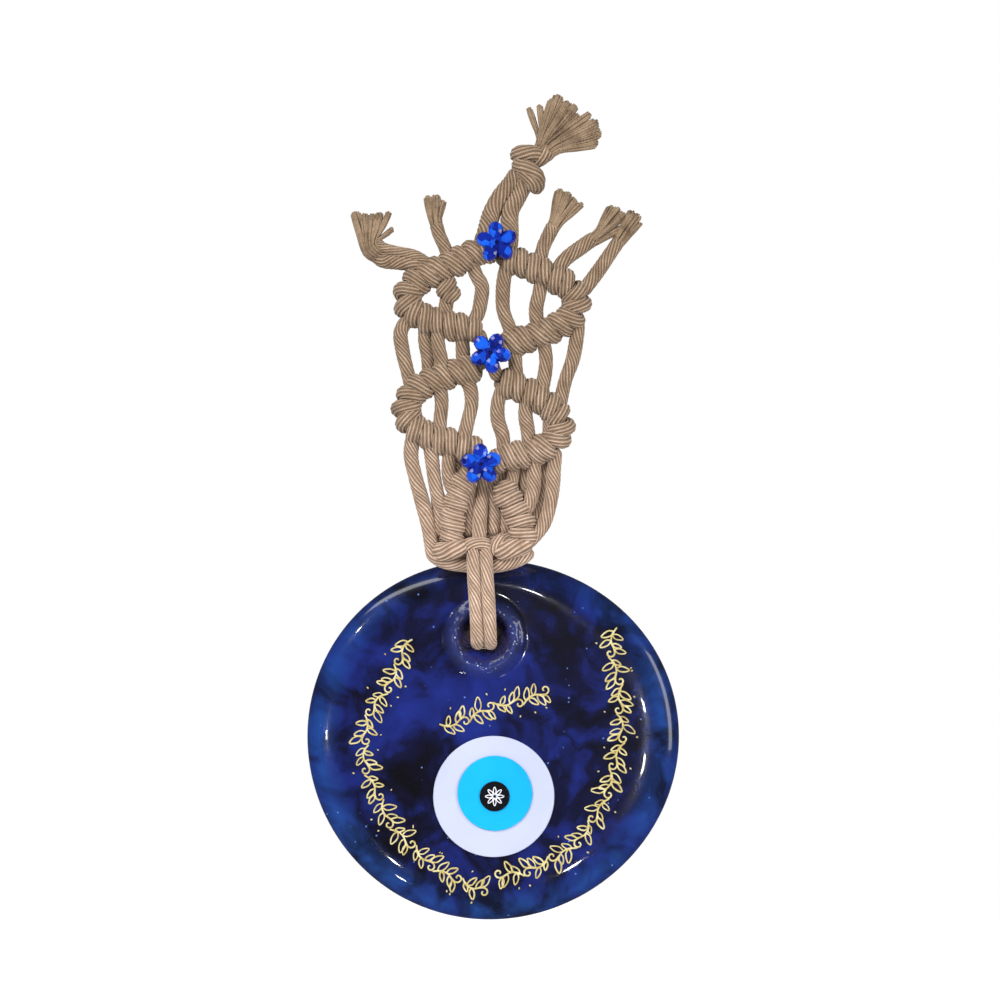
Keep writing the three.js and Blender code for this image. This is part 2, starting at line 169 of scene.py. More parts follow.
GLINTS = [(-47.7, -137, 22), (8, -129, 4), (42.9, -161.6, 6), (42.6, -181.8, 5), (19.8, -214.1, 6),
          (-36.5, -211.8, 8.6), (-34.2, -217.6, 16), (-58.2, -171.5, 14)]
for i, (x, z, tilt) in enumerate(GLINTS):
    add_glint(f"shop_lamp_{i + 1}", x, z, tilt)
print("camera", round(camera_distance, 3), "m in front of the net")

# %% [markdown]
# ## Small tools for materials
# Every finish below is a node tree round one Principled shader. These helpers keep each tree short: one makes
# the material, one adds a node with its settings, a few add the nodes that are used most, and one turns a
# screen colour such as b89c82 into the linear numbers that Blender works with.


# %% Material helpers
def linear(hex_colour):
    parts = [int(hex_colour[i:i + 2], 16) / 255 for i in (0, 2, 4)]
    return tuple(((c + 0.055) / 1.055) ** 2.4 if c > 0.04045 else c / 12.92 for c in parts) + (1.0,)


class Finish:
    """A material with its node tree, and the calls that build it."""

    def __init__(self, name, **constants):
        self.material = bpy.data.materials.new(name)
        self.material.use_nodes = True
        self.tree = self.material.node_tree
        self.shader = self.tree.nodes["Principled BSDF"]
        for socket, value in constants.items():
            self.shader.inputs[socket.replace("_", " ")].default_value = value

    def node(self, kind, settings=None, **inputs):
        made = self.tree.nodes.new("ShaderNode" + kind)
        for key, value in (settings or {}).items():
            setattr(made, key, value)
        for socket, value in inputs.items():
            place = int(socket[1:]) if socket[1:].isdigit() else socket.replace("_", " ")
            self.feed(value, made.inputs[place])
        return made

    def feed(self, value, socket):
        """Gives a socket its value: a link from another node, or a plain constant."""
        if isinstance(value, bpy.types.NodeSocket):
            self.tree.links.new(value, socket)
        else:
            socket.default_value = value

    def link(self, output, socket):
        self.tree.links.new(output, self.shader.inputs[socket])

    def maths(self, operation, a, b=0.0):
        return self.node("Math", {"operation": operation}, s0=a, s1=b).outputs[0]

    def times(self, a, b):
        return self.maths("MULTIPLY", a, b)

    def plus(self, a, b):
        return self.maths("ADD", a, b)

    def vector(self, operation, **inputs):
        return self.node("VectorMath", {"operation": operation}, **inputs)

    def place(self):
        return self.node("TexCoord").outputs["Object"]

    def noise(self, place, scale, detail, output="Fac", **more):
        return self.node("TexNoise", s0=place, Scale=scale, Detail=detail, **more).outputs[output]

    def carry(self, value, low, high, first, last):
        """Carries a value between low and high over to the range from first to last."""
        return self.node("MapRange", s0=value, s1=low, s2=high, s3=first, s4=last).outputs[0]

    def ramp(self, factor, stops):
        made = self.node("ValToRGB", s0=factor)
        ramp = made.color_ramp
        while len(ramp.elements) < len(stops):
            ramp.elements.new(0.5)
        for element, (place, colour) in zip(ramp.elements, stops):
            element.position = place
            element.color = linear(colour) if isinstance(colour, str) else (colour, colour, colour, 1)
        return made.outputs["Color"]

    def mix(self, factor, a, b, blend="MIX"):
        made = self.node("Mix", {"data_type": "RGBA", "blend_type": blend})
        for place, value in ((0, factor), (6, a), (7, b)):
            self.feed(value, made.inputs[place])
        return made.outputs[2]

    def bump(self, height, strength, distance, normal=None):
        made = self.node("Bump", Height=height, Strength=strength, Distance=distance)
        if normal is not None:
            self.tree.links.new(normal, made.inputs["Normal"])
        return made.outputs["Normal"]


print("material helpers ready")

# %% [markdown]
# ## Cotton cord: the finish
# The cord is soft spun cotton, about a dozen yarns laid side by side with a slow twist. Each yarn is a ridge
# in the mesh, and the material adds what is smaller: painted shade in the grooves between yarns, a slight
# change of tone from yarn to yarn, and the fine slanting fibres. The lower cord is painted paler towards the
# loop, as painted light. The pattern follows the cord through its UV map, whose first number counts
# centimetres along the cord and whose second goes once round it.

# %% Cotton cord finish
YARNS = 12
# painted shade: the colour laid into the grooves between yarns
GROOVE_SHADE_COLOUR = "5c4735"
YARN_TONES = (0.84, 1.12)  # the darkest and the lightest yarn beside the average
PAINTED_LIGHT_HEIGHTS = (-0.06, -0.13)  # where the cord begins to be painted paler as painted light, and where it is palest, in metres
PAINTED_LIGHT_TINT = (2.4, 2.46, 2.85, 1)


def cotton_finish(name, light, mid, dark, yarns=YARNS, fibre_strength=0.7):
    cotton = Finish(name, Roughness=0.95, Sheen_Weight=0.12, Sheen_Roughness=0.6, Specular_IOR_Level=0.15)
    split = cotton.node("SeparateXYZ", s0=cotton.node("UVMap", {"uv_map": "UVMap"}).outputs["UV"])
    along, around = split.outputs["X"], split.outputs["Y"]
    place = cotton.place()
    slant = cotton.plus(cotton.times(around, yarns * 2.2), cotton.times(along, 6.0))
    streak_place = cotton.node("CombineXYZ", s0=cotton.times(along, 3.0), s1=slant).outputs[0]
    streaks = cotton.noise(streak_place, 2.2, 4.0, Roughness=0.65)
    mottle = cotton.noise(place, 230.0, 3.0)
    fuzz = cotton.noise(place, 5200.0, 2.0)
    tone = cotton.plus(cotton.times(streaks, 0.55), cotton.times(mottle, 0.45))
    body = cotton.ramp(tone, [(0.34, dark), (0.5, mid), (0.68, light)])
    if yarns > 1:
        wander = cotton.times(cotton.maths("SUBTRACT", streaks, 0.5), 2.6)
        phase = cotton.plus(cotton.times(around, 2 * math.pi * yarns), wander)
        # painted shade: the grooves between yarns are painted darker
        shade = cotton.ramp(cotton.maths("COSINE", phase), [(0.0, 0.76), (0.35, 0.32), (0.75, 0.0)])
        body = cotton.mix(shade, body, linear(GROOVE_SHADE_COLOUR))
        number = cotton.maths("MODULO", cotton.maths("ROUND", cotton.times(around, yarns)), yarns)
        own = cotton.node("TexWhiteNoise", {"noise_dimensions": "1D"}, W=number).outputs["Value"]
        body = cotton.mix(1.0, body, cotton.carry(own, 0.0, 1.0, *YARN_TONES), "MULTIPLY")
    # painted light: the cord is painted paler towards the loop, lower down
    height_up = cotton.node("SeparateXYZ", s0=place).outputs["Z"]
    painted_light_share = cotton.carry(height_up, *PAINTED_LIGHT_HEIGHTS, 0.0, 0.6)
    body = cotton.mix(painted_light_share, body, cotton.mix(1.0, body, PAINTED_LIGHT_TINT, "MULTIPLY"))
    cotton.link(body, "Base Color")
    height = cotton.plus(cotton.times(streaks, 0.75), cotton.times(fuzz, 0.25))
    cotton.link(cotton.bump(height, fibre_strength, 0.25 * MM), "Normal")
    return cotton.material


COTTON = cotton_finish("cotton_cord", "b7a08a", "9e8872", "7f6954")
LOOSE_COTTON = cotton_finish("loose_cotton", "9c866e", "836e58", "544234", yarns=1, fibre_strength=0.2)
print("made", COTTON.name, "and", LOOSE_COTTON.name)

# %% [markdown]
# ## Cord from a curve
# A cord is one thing with one section, so a curve with a bevel profile suits it better than a mesh: the
# profile is a ring of twelve little lobes, and a tilt that grows along the curve lays them round it like real
# yarns. The curve passes smoothly through a few given stations. It is then turned into a mesh, so that
# its seams can be closed and its UV map can count real length.

# %% Cord helpers
NET_Y = -5.4  # depth of the net's middle plane, in mm
CORD_STEP = 0.65 * MM
CORD_LAY = -24 * MM  # length in which the yarns go once round the cord
PATH_CUTS = 24  # fine cuts between two stations, before the equal steps are laid out
SWELL, SWELL_RATE = 0.035, 310  # how much the cord thickens and thins, and how often along each metre
ROLL, ROLL_RATE = 0.22, 420  # how much the twist wanders, and how often
MERGE_DISTANCE = 1e-7


def net(stations):
    """Stations of the net as (x, z) or (x, z, forward) in mm, turned into points in metres."""
    return [Vector((s[0], NET_Y - (s[2] if len(s) > 2 else 0), s[1])) * MM for s in stations]


def catmull(p0, p1, p2, p3, t):
    a, b, c = [max((q - p).length, 1e-9) ** 0.5 for p, q in ((p0, p1), (p1, p2), (p2, p3))]
    m1 = ((p1 - p0) / a - (p2 - p0) / (a + b) + (p2 - p1) / b) * b
    m2 = ((p2 - p1) / b - (p3 - p1) / (b + c) + (p3 - p2) / c) * b
    return p1 + m1 * t + (3 * (p2 - p1) - 2 * m1 - m2) * t ** 2 + (2 * (p1 - p2) + m1 + m2) * t ** 3


def smooth_path(points, step=CORD_STEP):
    """A smooth line through the points, cut into equal steps."""
    ends = [points[0] * 2 - points[1], *points, points[-1] * 2 - points[-2]]
    fine = []
    for i in range(len(points) - 1):
        fine += [catmull(*ends[i:i + 4], t / PATH_CUTS) for t in range(PATH_CUTS)]
    fine.append(points[-1].copy())
    reach = [0.0]
    for a, b in zip(fine, fine[1:]):
        reach.append(reach[-1] + (b - a).length)
    count = max(3, round(reach[-1] / step))
    wanted = np.linspace(0, reach[-1], count + 1)
    table = np.array([tuple(p) for p in fine])
    columns = [np.interp(wanted, reach, table[:, k]) for k in range(3)]
    return [Vector(p) for p in np.column_stack(columns)]


def path_length(path):
    return sum((b - a).length for a, b in zip(path, path[1:]))


def yarn_section(name, yarns, depth, corners):
    """The cut end of a cord: a closed ring of little lobes, one metre in radius, which each point scales."""
    data = bpy.data.curves.new(name, "CURVE")
    data.dimensions = "2D"
    ring = data.splines.new("POLY")
    ring.points.add(yarns * corners - 1)
    ring.use_cyclic_u = True
    for i, point in enumerate(ring.points):
        angle = -2 * math.pi * i / (yarns * corners)
        radius = 1 - depth + depth * abs(math.cos(yarns * angle / 2))
        point.co = (radius * math.cos(angle), radius * math.sin(angle), 0, 1)
    return add_object(name, data)


CORD_SECTION = yarn_section("cord_section", YARNS, 0.17, 4)


def rounded_ends(count, reach):
    """How full the cord is at each point: it closes like a finger tip at both ends."""
    full = []
    for i in range(count):
        nearest = min(i, count - 1 - i)
        open_part = max(0.0, 1 - (nearest + 0.35) / reach) if nearest < reach else 0.0
        full.append(math.sqrt(1 - open_part ** 2))
    return full


def add_spline(data, path, radius, lay):
    spline = data.splines.new("POLY")
    spline.points.add(len(path) - 1)
    step = path_length(path) / (len(path) - 1)
    full = rounded_ends(len(path), max(1, round(radius / step)))
    drift = path[0].x * 900 + path[-1].z * 700
    for i, (point, place) in enumerate(zip(spline.points, path)):
        point.co = (*place, 1)
        reach = i * step
        point.radius = radius * full[i] * (1 + SWELL * math.sin(reach * SWELL_RATE + drift))
        point.tilt = 2 * math.pi * reach / lay + ROLL * math.sin(reach * ROLL_RATE + drift)


def curve_data(name, section):
    data = bpy.data.curves.new(name, "CURVE")
    data.dimensions = "3D"
    data.twist_mode = "MINIMUM"
    data.use_fill_caps = True
    data.bevel_mode = "OBJECT"
    data.bevel_object = section
    return data


def meshed(name, data, length):
    """The curve as a closed, smooth mesh object whose UV map counts centimetres along the cord."""
    draft = add_object(name + "_draft", data)
    shape = bpy.data.meshes.new_from_object(draft.evaluated_get(bpy.context.evaluated_depsgraph_get()))
    bpy.data.objects.remove(draft)
    shape.name = name
    build = bmesh.new()
    build.from_mesh(shape)
    bmesh.ops.remove_doubles(build, verts=build.verts, dist=MERGE_DISTANCE)
    bmesh.ops.recalc_face_normals(build, faces=build.faces)
    for face in build.faces:
        face.smooth = len(face.verts) <= 4
    layer = build.loops.layers.uv["UVMap"]
    for face in build.faces:
        for loop in face.loops:
            loop[layer].uv.x *= length * 100
    build.to_mesh(shape)
    build.free()
    return add_object(name, shape)


def dress(piece, material, body, replaced=()):
    """Gives a finished piece its material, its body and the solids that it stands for."""
    piece.data.materials.clear()
    piece.data.materials.append(material)
    if body:
        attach(piece, body)
    if replaced:
        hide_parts(*replaced)
    return piece


def cord(name, points, radius, body, replaced=(), lay=CORD_LAY):
    path = smooth_path(points)
    data = curve_data(name, CORD_SECTION)
    add_spline(data, path, radius, lay)
    piece = meshed(name, data, path_length(path))
    return dress(piece, COTTON, body, replaced)


print("cord section has", YARNS, "yarns")

# %% [markdown]
# ## Rows of hitches
# A row of double half hitches is a holding cord with working cords wrapped tightly round it. From outside it
# is a coil, so each row is one cord on a helix round the row's middle line. The turns are pulled tight but
# never quite alike: each is a little wider, narrower or further along than the last. The first and last turns
# tuck into the middle, which closes the ends of the row.

# %% Hitch rows
HITCH_ROWS = [
    ("left", "upper", (1, 2),
     [(-4.2, -16), (-9.5, -16.8), (-16, -20), (-24.5, -24.3), (-30.3, -27.4), (-32.9, -31.6),
      (-31, -36), (-26, -38.6), (-20.5, -40.4), (-15.5, -41.4), (-10.2, -43.4)]),
    ("right", "upper", (1, 2),
     [(-2.6, -18.4), (7.5, -22.2), (14.8, -25.6), (19.8, -28.8), (21.6, -33.2), (20, -37.8), (15, -41.2),
      (7.5, -44.3), (-3.4, -47.8)]),
    ("left", "lower", (3, 4),
     [(-9.6, -53.8), (-18, -56), (-25.5, -58.6), (-30.5, -62), (-32.8, -67), (-31.4, -72.2),
      (-26.5, -75.6), (-20, -77.6), (-9.6, -81.2)]),
    ("right", "lower", (3, 4),
     [(-3.3, -58), (3.5, -60.7), (10, -64.2), (14.5, -67.8), (16.5, -72.6), (14.6, -77.2), (9, -80.6),
      (3.5, -82), (-4.8, -82.9)]),
]
WRAP_RADIUS = 2.5 * MM  # the wrapping cord's own radius, pulled flat
WRAP_REACH = 2.45 * MM  # from the row's middle line to the middle of the wrapping cord
WRAP_PITCH = 4.1 * MM
WRAP_HAND = -1
LOOSE_LAY = -60 * MM  # a pulled cord is nearly untwisted
TURN_STEPS = 26
LOOK_AHEAD = 0.02  # the share of the row over which its direction is measured


def coil_path(points, reach, pitch, hand, rng):
    """A helix round the smooth line through the points, with slightly uneven turns."""
    middle = smooth_path(points, 0.2 * MM)
    turns = max(2, round(path_length(middle) / pitch))
    pushes = [rng.uniform(-0.05, 0.05) for _ in range(turns + 2)]
    swells = [rng.uniform(-0.05, 0.07) for _ in range(turns + 2)]
    forward = Vector((0, -1, 0))
    line = np.array([tuple(p) for p in middle])
    reach_at = np.linspace(0, 1, len(middle))

    def on_row(share):
        share = min(1.0, max(0.0, share))
        return Vector([float(np.interp(share, reach_at, line[:, k])) for k in range(3)])

    coil = []
    for i in range(turns * TURN_STEPS + 1):
        share = i / (turns * TURN_STEPS)
        turn = share * turns
        whole, part = int(turn), turn - int(turn)
        push = pushes[whole] * (1 - part) + pushes[whole + 1] * part
        swell = swells[whole] * (1 - part) + swells[whole + 1] * part
        at = min(1.0, max(0.0, share + (push + 0.06 * math.sin(math.pi * turn)) / turns))
        side = (on_row(at + LOOK_AHEAD) - on_row(at - LOOK_AHEAD)).normalized().cross(forward)
        tuck = min(1.0, 0.25 + min(turn, turns - turn) * 2.4)
        angle = hand * 2 * math.pi * turn
        arm = reach * tuck * (1 + swell - 0.05 * math.cos(math.pi * turn))
        coil.append(on_row(at) + (side * math.cos(angle) + forward * math.sin(angle)) * arm)
    return coil


def hitch_row(name, points, replaced, hand=WRAP_HAND, radius=WRAP_RADIUS, reach=WRAP_REACH,
              pitch=WRAP_PITCH):
    rng = random.Random(name)
    coil = smooth_path(coil_path(points, reach, pitch, hand, rng)[::2], 0.7 * MM)
    data = curve_data(name, CORD_SECTION)
    add_spline(data, coil, radius, LOOSE_LAY)
    piece = meshed(name, data, path_length(coil))
    return dress(piece, COTTON, "net_panel", replaced)


for side, level, numbers, stations in HITCH_ROWS:
    hitch_row(f"{side}_{level}_hitches", net(stations), [f"hitch_row_{n}_{side}" for n in numbers])
print("made", len(HITCH_ROWS), "rows of hitches")

# %% [markdown]
# ## The gather
# Under the last rows the outer cords are hitched into two short ladders, and small wraps pull everything
# together over a bight of cord. The ladders are the same kind of coil, a size smaller. Plain cords behind
# them close the gaps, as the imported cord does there.

# %% Ladders, wraps and bight
LADDERS = {
    "hitch_ladder_left": ([(-13.2, -87.5), (-16.2, -94), (-17.8, -101), (-18.3, -110.5)], 2.3, 2.0, 3.6),
    "hitch_ladder_right": ([(-2.6, -91.6), (0.4, -97), (3.6, -102.3), (5.2, -110)], 2.6, 2.3, 4.4),
}
for name, (stations, radius, reach, pitch) in LADDERS.items():
    hitch_row(name + "_wraps", net(stations), [name], 1, radius * MM, reach * MM, pitch * MM)

GATHER = {
    "gather_wrap_left": (3.1, [(-24, -111.8, 0), (-21, -112.8, 1.8), (-17.4, -111.9, 2.3), (-13.8, -110, 0.4)]),
    "gather_wrap_right": (3.1, [(-4.4, -113, 0.4), (-1.4, -112.2, 2.0), (3, -111.2, 2.2), (7.0, -110.2, 0)]),
    "gather_bight": (2.2, [(-15.4, -112.2, 0), (-12.4, -110.4, 1.6), (-8, -110.3, 1.8), (-4.6, -112.2, 0)]),
}
for name, (radius, stations) in GATHER.items():
    cord(name + "_cord", net(stations), radius * MM, "net_panel", [name], LOOSE_LAY)
KNOB = [(-4.8, -113.6, 0.5), (-4.0, -110.4, 2.2), (-1.6, -108.2, 1.4)]
cord("gather_knob", net(KNOB), 2.2 * MM, "net_panel", (), LOOSE_LAY)
hitch_row("half_hitch_knob", net([(-21.2, -26.4, 0.6), (-19.6, -29.2, 0.8), (-18.6, -32.6, 0.6)]), (),
          radius=2.3 * MM, reach=1.7 * MM, pitch=3.9 * MM)

BACK_CORDS = {
    "left": [(-13.2, -83, -2), (-12.7, -92, -2.8), (-12.8, -100, -2.8), (-13, -108.4, -2.2)],
    "centre": [(-4.6, -84, -2.2), (-5.0, -92, -3.2), (-4.6, -99, -3.2), (-5.2, -108, -2.6)],
    "right": [(2.6, -84.5, -2.6), (0.4, -91, -3.4), (-0.6, -98, -3.6), (-1, -107.4, -3)],
    "far_left": [(-23.6, -90, -1.2), (-22.6, -98, -1.6), (-22.4, -108, -1)],
    "far_right": [(11.6, -84, -2.6), (10.8, -92, -3), (9.2, -100, -3), (6, -107.5, -2.4)],
    "near_right": [(5.4, -85, -2.8), (5.2, -92, -3.4), (7.4, -99.5, -3)],
    "right_low": [(8.6, -94, -2.4), (6.6, -100, -3), (3.2, -105, -3), (0.8, -109.6, -2)],
    "upper_left": [(-18.4, -80.5, -2.6), (-16.8, -86, -3), (-17.6, -92.5, -2.6)],
    "upper_centre": [(0.6, -82, -3), (-1.6, -88, -3.4), (-2.8, -94.5, -3)],
    "across": [(-23.4, -108.2, -2), (-15, -110.2, -3.4), (-5, -108.7, -3.6), (5.6, -108.0, -2.4)],
}
BACK_FEET = {
    "foot_left": [(-21, -113.0, -1.4), (-17.6, -113.9, -1.8), (-13.2, -114.0, -2)],
    "foot_right": [(2.2, -113.2, -1.4), (-1.6, -114.2, -1.8), (-5.2, -114.4, -2)],
}
CORD_RADIUS = 2.3 * MM
for cords, radius in ((BACK_CORDS, CORD_RADIUS), (BACK_FEET, 1.5 * MM)):
    for name, stations in cords.items():
        cord("back_cord_" + name, net(stations), radius, "net_panel")
print("made", len(LADDERS), "ladders, the gather and", len(BACK_CORDS) + len(BACK_FEET), "cords behind it")

# %% [markdown]
# ## Single cords of the net
# Between the rows the working cords run free for a short way. Each follows its solid's route and disappears
# into the coils at both ends, as it does on the real net.

# %% Net cords
NET_CORDS = {
    "inner_cord_1_a": [(-12.5, -18.5), (-10.5, -24.5), (-8.7, -28), (-9, -32.5), (-10, -37), (-12.8, -41.6)],
    "inner_cord_1_b": [(-20.5, -22), (-19.2, -29), (-20, -33.5), (-21, -40)],
    "inner_cord_1_c": [(-0.3, -19.9), (-1.5, -25), (-2, -30), (-1.8, -36), (0, -41), (1.5, -46)],
    "inner_cord_1_d": [(10.5, -23.3), (9.7, -30), (8.6, -35.5), (9.5, -43.8)],
    "inner_cord_1_e": [(18, -26.6, -1), (19, -33, -1.5), (18.5, -40.3, -1)],
    "side_cord_2_a": [(-31, -36.8), (-34.5, -42.5), (-34, -48.5), (-32.5, -55), (-31, -61.2)],
    "side_cord_2_b": [(-26.5, -38.3, -1), (-26.8, -45, -1), (-25.8, -51, -1), (-25.5, -58.3, -1)],
    "side_cord_2_c": [(-22.5, -39.5, 1), (-22.6, -46, 1), (-21.6, -52, 1), (-21, -57, 1)],
    "side_cord_2_d": [(-15, -41.3), (-14.8, -47.5), (-14.5, -54.9)],
    "side_cord_2_e": [(22.3, -39.2), (21.5, -45), (20.3, -51.5), (18, -58), (16, -66.6)],
    "side_cord_2_f": [(10.5, -43.3), (11.8, -52), (10, -63.5)],
    "side_cord_2_g": [(2.2, -46.2), (2, -52), (2.5, -60.1)],
    "crossing_cord_front": [(-10, -42.2), (-8.5, -47, 2.3), (-6, -52, 2.3), (-3.3, -58)],
    "crossing_cord_back": [(-1.5, -47), (-5, -49.3, -2.3), (-8.5, -52, -2.3), (-12, -54.5)],
    "inner_cord_3_a": [(-14.8, -55.4), (-12.3, -61), (-12, -66), (-13, -70.5), (-15, -79)],
    "inner_cord_3_b": [(-22.5, -57.3), (-21.5, -65), (-22, -71), (-22.5, -77)],
    "inner_cord_3_c": [(-1.3, -58.8), (-3.4, -64.5), (-3.6, -70.5), (-2, -76), (-1.8, -82.5)],
    "inner_cord_3_d": [(6, -61.6), (5.2, -69), (6, -74.5), (6.5, -81.7)],
    "inner_cord_3_e": [(13.5, -65.3), (13, -72), (12.8, -80.5)],
    "foot_cord_b": [(-25.5, -76.4), (-24.5, -84), (-23.5, -91.5), (-21.8, -97.5), (-18, -101.5)],
    "foot_cord_c": [(-18.8, -78.3), (-19.3, -86), (-18.8, -90.5), (-16.2, -96)],
    "foot_cord_d": [(15, -79.8), (14.3, -86), (14, -91.5), (13, -98), (11, -104), (5, -111)],
    "foot_cord_e": [(8, -81.3), (8, -88), (7.6, -93.5), (5.5, -99), (2.5, -102)],
    "foot_cord_f": [(1.5, -82.4, -1.5), (1.2, -88, -1.5), (-0.5, -97.5)],
    "centre_cord": [(-10.5, -80.5), (-8, -86, -3), (-8.2, -92, -3.2), (-9.2, -100, -1.2), (-9.5, -106),
                    (-9.5, -111)],
}
for name, stations in NET_CORDS.items():
    cord(name + "_rope", net(stations), CORD_RADIUS, "net_panel", [name])
print("made", len(NET_CORDS), "single cords")

# %% [markdown]
# ## The edge cord, the cradle and the loop
# The left edge cord runs down beside the ladder, turns under the gather like a smile and climbs on the right.
# The net ends and the swinging loop begins at its turn, so it is one cord, and it is given to neither body.
# The loop is two strands that pass in front of the rim, through the hole and back up behind the glass.

# %% Edge cord, cradle and loop strands
GATHER_Z = -111.0
EDGE_FOOT_X = -24.7
EDGE_CORD = [(-30.5, -75.3), (-31.3, -82), (-30, -88.5), (-27.8, -96.5), (-25.8, -104.5),
             (EDGE_FOOT_X, GATHER_Z)]
CRADLE = [(-23.9, -113.9), (-20.3, -115.9, -0.4), (-14, -117.1, -0.9), (-9.3, -117.6, -1),
          (-4.5, -117.2, -0.9), (0.8, -116.0, -0.4), (4.6, -114.4), (7.4, -112.2)]
EDGE_RADIUS, STRAND_RADIUS, SQUEEZED_RADIUS = 2.4 * MM, 2.2 * MM, 1.3 * MM
cradle = cord("edge_and_cradle_cord", net(EDGE_CORD + CRADLE), EDGE_RADIUS, None,
              ["foot_cord_a", "cradle_cord"])
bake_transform(cradle)

LOOP_SIDE = [
    (-6.0, -111.5), (-8.6, -116), (-9.2, -121), (-8.8, -128), (-7.6, -134.8), (-5.6, -140), (-2.6, -142),
    (1.5, -142.1), (6.0, -141.6), (9.8, -139.2), (11.5, -133.5), (11.6, -125), (11.2, -119), (9.0, -114.6),
    (5.0, -112.3), (0.8, -112.2), (-2.2, -113.2),
]
LOOP_TOP_X, HOLE_X, HOLE_Z = -9.6, -8.0, -140.2
LOOP_PITCH = 4.05  # from the middle of one strand to the middle of the other


def loop_points(offset):
    points = []
    for y, z in LOOP_SIDE:
        drop = min(1.0, max(0.0, (GATHER_Z - z) / (GATHER_Z - HOLE_Z)))
        points.append(Vector((LOOP_TOP_X + (HOLE_X - LOOP_TOP_X) * drop + offset, y, z)) * MM)
    return points


for side, sign in (("left", -1), ("right", 1)):
    cord(f"loop_strand_{side}_rope", loop_points(sign * LOOP_PITCH / 2), STRAND_RADIUS, "loop",
         [f"loop_strand_{side}"])
squeezed = [Vector((HOLE_X, y, HOLE_Z - 2.7)) * MM for y in (0.6, 3, 6)]
cord("loop_squeezed_yarns", squeezed, SQUEEZED_RADIUS, "loop")
print("made the cradle and the loop")

# %% [markdown]
# ## The hanging cords, their knot and the frayed ends
# The two hanging cords rise from the top of the net, close round the nail and meet in an overhand knot. A
# loose end of cord opens into its yarns, so each frayed end is a cord that stops, and a brush of single yarns
# that starts inside it and fans out to ragged tips.

# %% Hanging cords and knot
HANGING = {
    "left": [(-9.9, -5.4, -18), (-8.6, -4.8, -14.4), (-7.3, -3.2, -10.6), (-6.4, -1.6, -7),
             (-5.2, -0.6, -3.4), (-2.6, 0, 1.4), (1.4, 0, 6.2), (3.6, 0, 10)],
    "right": [(-1.0, -5.4, -19.5), (-0.2, -4.8, -15), (0.1, -3.2, -10.8), (0.1, -1.6, -7),
              (0.5, -0.6, -3.4), (2.5, 0, 0.8), (4.7, 0, 5.4), (6.4, 0, 9.5)],
}
HANGING_RADIUS = 3.0 * MM


def place(points):
    return [Vector(p) * MM for p in points]


for side, points in HANGING.items():
    hanging = cord(f"hanging_cord_{side}_rope", place(points), HANGING_RADIUS, None,
                   [f"hanging_cord_{side}", f"apex_cord_{side}"])
    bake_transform(hanging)

KNOT_CORDS = {
    "knot_top_turn": (2.7, [(3.2, 2.4, 14.2), (3.0, -0.4, 14.6), (4.6, -1.8, 14.8), (8, -1.8, 14.6),
                            (9.4, 0.6, 13.6)]),
    "knot_wrap": (2.6, [(3.6, 1.0, 12), (3.4, -1.8, 10.8), (6, -3.2, 9.6), (8.8, -2.4, 7.2),
                        (8.9, -0.4, 4.6), (7.4, 1, 3)]),
    "knot_low_wrap": (2.3, [(3.0, -1.2, 9.4), (5.0, -2.8, 8.0), (7.4, -2.6, 5.4), (7.2, -0.6, 3.2)]),
    "knot_back_turn": (2.4, [(3.4, 1.2, 13), (3.4, 3.0, 9.6), (6, 3.4, 7.6), (8.4, 2.2, 6.4), (8.8, 0.6, 8)]),
    "knot_heart": (3.0, [(5.2, 0.2, 4.4), (5.8, 0.4, 8), (7.2, 0.2, 12), (10.4, 0.2, 15.4)]),
}
for name, (radius, points) in KNOT_CORDS.items():
    replaced = ["overhand_knot"] if name == "knot_heart" else ()
    cord(name, place(points), radius * MM, "top_cord", replaced, LOOSE_LAY)
print("made the hanging cords and", len(KNOT_CORDS), "turns of the knot")

# %% Frayed ends
YARN_SECTION = yarn_section("yarn_section", 1, 0.0, 6)
YARN_STEP = 1.9 * MM
YARN_LAY = 1.0  # a loose yarn hardly twists: one turn in a metre
YARN_RADIUS = 0.31
FAN_FLATNESS = 0.55  # a fan's depth beside its width
BACKWARD = Vector((0, 1, 0))


def brush(name, base, heading, bundles, body, base_radius, rng):
    """Yarns from a ring round the base to each bundle's tip. A bundle is (x, z, half width, yarn count)."""
    data = curve_data(name, YARN_SECTION)
    base, heading = Vector(base), Vector(heading).normalized()
    across_stem = heading.cross(BACKWARD)
    yarn_count = sum(b[3] for b in bundles)
    middle_x, middle_z = [sum(b[k] * b[3] for b in bundles) / yarn_count for k in (0, 1)]
    fan_side = (Vector((middle_x, base.y, middle_z)) - base).normalized().cross(BACKWARD)
    reach = max(abs((Vector((b[0], base.y, b[1])) - base).dot(fan_side)) for b in bundles) + 0.5
    longest = 0.0
    for tip_x, tip_z, half_width, count in bundles:
        tip = Vector((tip_x, base.y, tip_z))
        along = (tip - base).normalized()
        side = along.cross(BACKWARD)
        lane = (tip - base).dot(fan_side) / reach
        for _ in range(count * 2):
            across = rng.uniform(-1, 1)
            deep = rng.uniform(-1, 1) * math.sqrt(1 - 0.9 * across * across)
            room = math.sqrt(max(0.05, 1 - lane * lane * 0.8))
            ring = across_stem * (lane * 0.75 + across * 0.35) + BACKWARD * deep * room
            start = base - heading * 2.8 + ring * base_radius * 0.9
            neck = base + heading * 0.8 + ring * base_radius * 1.1
            end = tip + side * across * half_width + BACKWARD * deep * (half_width * FAN_FLATNESS + 0.5)
            end += along * (rng.uniform(-1.0, 0.5) - 0.6 * half_width * across * across)
            middle = neck.lerp(end, 0.55) + BACKWARD * rng.uniform(-0.3, 0.3)
            middle += side * rng.uniform(-0.2, 0.2)
            path = smooth_path([start * MM, neck * MM, middle * MM, end * MM], YARN_STEP)
            add_spline(data, path, YARN_RADIUS * rng.uniform(0.75, 1.5) * MM, YARN_LAY)
            longest = max(longest, path_length(path))
    return dress(meshed(name, data, longest), LOOSE_COTTON, body)


